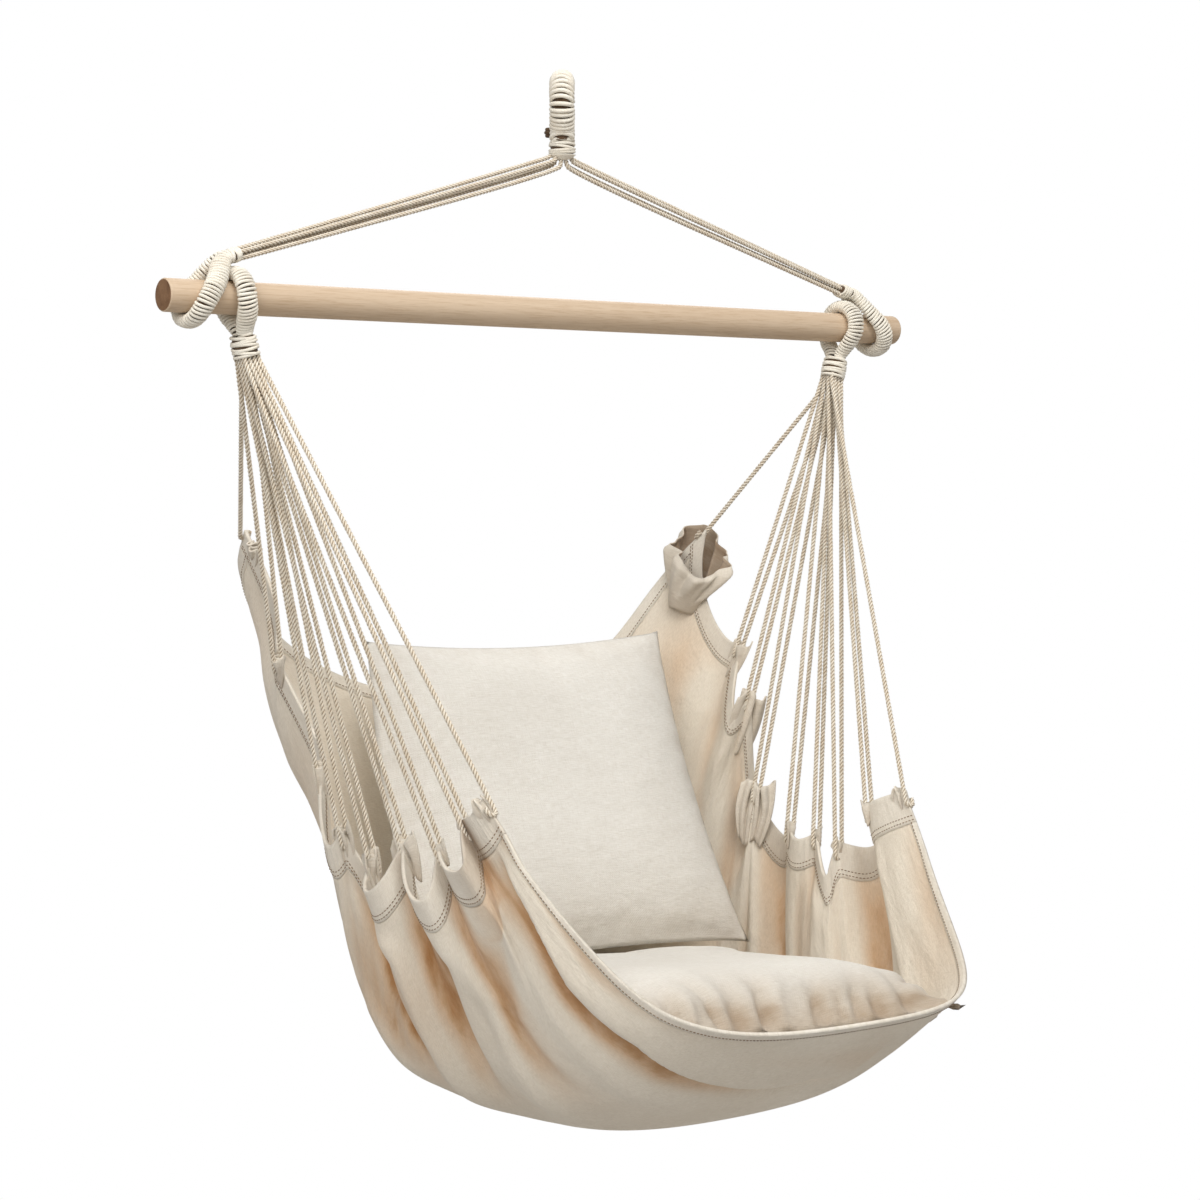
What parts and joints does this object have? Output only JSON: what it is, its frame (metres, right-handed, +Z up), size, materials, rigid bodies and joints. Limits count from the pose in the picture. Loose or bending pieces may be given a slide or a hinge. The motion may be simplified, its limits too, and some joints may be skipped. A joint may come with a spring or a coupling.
{
  "type": "hammock chair",
  "caption": "Hanging hammock chair: a canvas bag seat on fans of cord under a wooden spreader bar, with loose seat and back cushions.",
  "frame": {"origin": "where the hook carries the hanging loop, at the top of the loop's opening", "axes": "+X along the spreader bar to the sitter's left, seen from the front to the right; -Y the way the sitter faces; +Z up"},
  "size_m": [1, 0.683, 1.1333],
  "materials": {
    "beech": "plain sanded wood, unvarnished, round dowel with bare sawn ends",
    "rope": "natural cotton rope whipped with cotton cord, matt",
    "cord": "natural three-strand twisted cord, matt",
    "canvas": "unbleached plain-weave cotton canvas with double-stitched hems, matt",
    "seat_cushion_cover": "stuffed cushion in natural plain-weave cotton, matt",
    "back_cushion_cover": "stuffed cushion in natural plain-weave cotton, matt"
  },
  "bodies": {
    "hanger": {"hanging_loop": "rope", "hanging_loop_whipping": "rope"},
    "swivel": {"hanging_lashing": "rope"},
    "spreader": {"spreader_bar": "beech", "upper_eye_left": "rope", "upper_eye_left_whipping": "rope", "upper_collar_left": "rope", "bridle_cord_left_1": "cord", "bridle_cord_left_2": "cord", "bridle_cord_left_3": "cord", "bridle_cord_left_4": "cord", "upper_eye_right": "rope", "upper_eye_right_whipping": "rope", "upper_collar_right": "rope", "bridle_cord_right_1": "cord", "bridle_cord_right_2": "cord", "bridle_cord_right_3": "cord", "bridle_cord_right_4": "cord"},
    "seat": {"lower_eye_left": "rope", "lower_eye_left_whipping": "rope", "lower_collar_left": "rope", "fan_cord_left_1": "cord", "fan_cord_left_2": "cord", "fan_cord_left_3": "cord", "fan_cord_left_4": "cord", "fan_cord_left_5": "cord", "fan_cord_left_6": "cord", "fan_cord_left_7": "cord", "fan_cord_left_8": "cord", "fan_cord_left_9": "cord", "side_hem_left": "canvas", "lower_eye_right": "rope", "lower_eye_right_whipping": "rope", "lower_collar_right": "rope", "fan_cord_right_1": "cord", "fan_cord_right_2": "cord", "fan_cord_right_3": "cord", "fan_cord_right_4": "cord", "fan_cord_right_5": "cord", "fan_cord_right_6": "cord", "fan_cord_right_7": "cord", "fan_cord_right_8": "cord", "fan_cord_right_9": "cord", "side_hem_right": "canvas", "seat_fabric": "canvas", "rear_hem": "canvas", "front_hem": "canvas"},
    "loose_seat_cushion": {"seat_cushion": "seat_cushion_cover"},
    "loose_back_cushion": {"back_cushion": "back_cushion_cover"}
  },
  "joints": [
    {"name": "chair_twist", "type": "hinge", "parent": "hanger", "child": "swivel", "pos_m": [0, 0, -0.048], "axis": [0, 0, 1], "range_deg": [-90, 90]},
    {"name": "bar_tilt", "type": "hinge", "parent": "swivel", "child": "spreader", "pos_m": [0, 0, -0.051], "axis": [0, 1, 0], "range_deg": [-12, 12]},
    {"name": "seat_swing", "type": "hinge", "parent": "spreader", "child": "seat", "pos_m": [0, 0, -0.241], "axis": [1, 0, 0], "range_deg": [-25, 25]},
    {"name": "seat_cushion_lift", "type": "slide", "parent": "seat", "child": "loose_seat_cushion", "axis": [0, 0, 1], "range_m": [0, 0.2]},
    {"name": "back_cushion_pull", "type": "slide", "parent": "loose_seat_cushion", "child": "loose_back_cushion", "axis": [0, -0.866, 0.5], "range_m": [0, 0.3]}
  ]
}
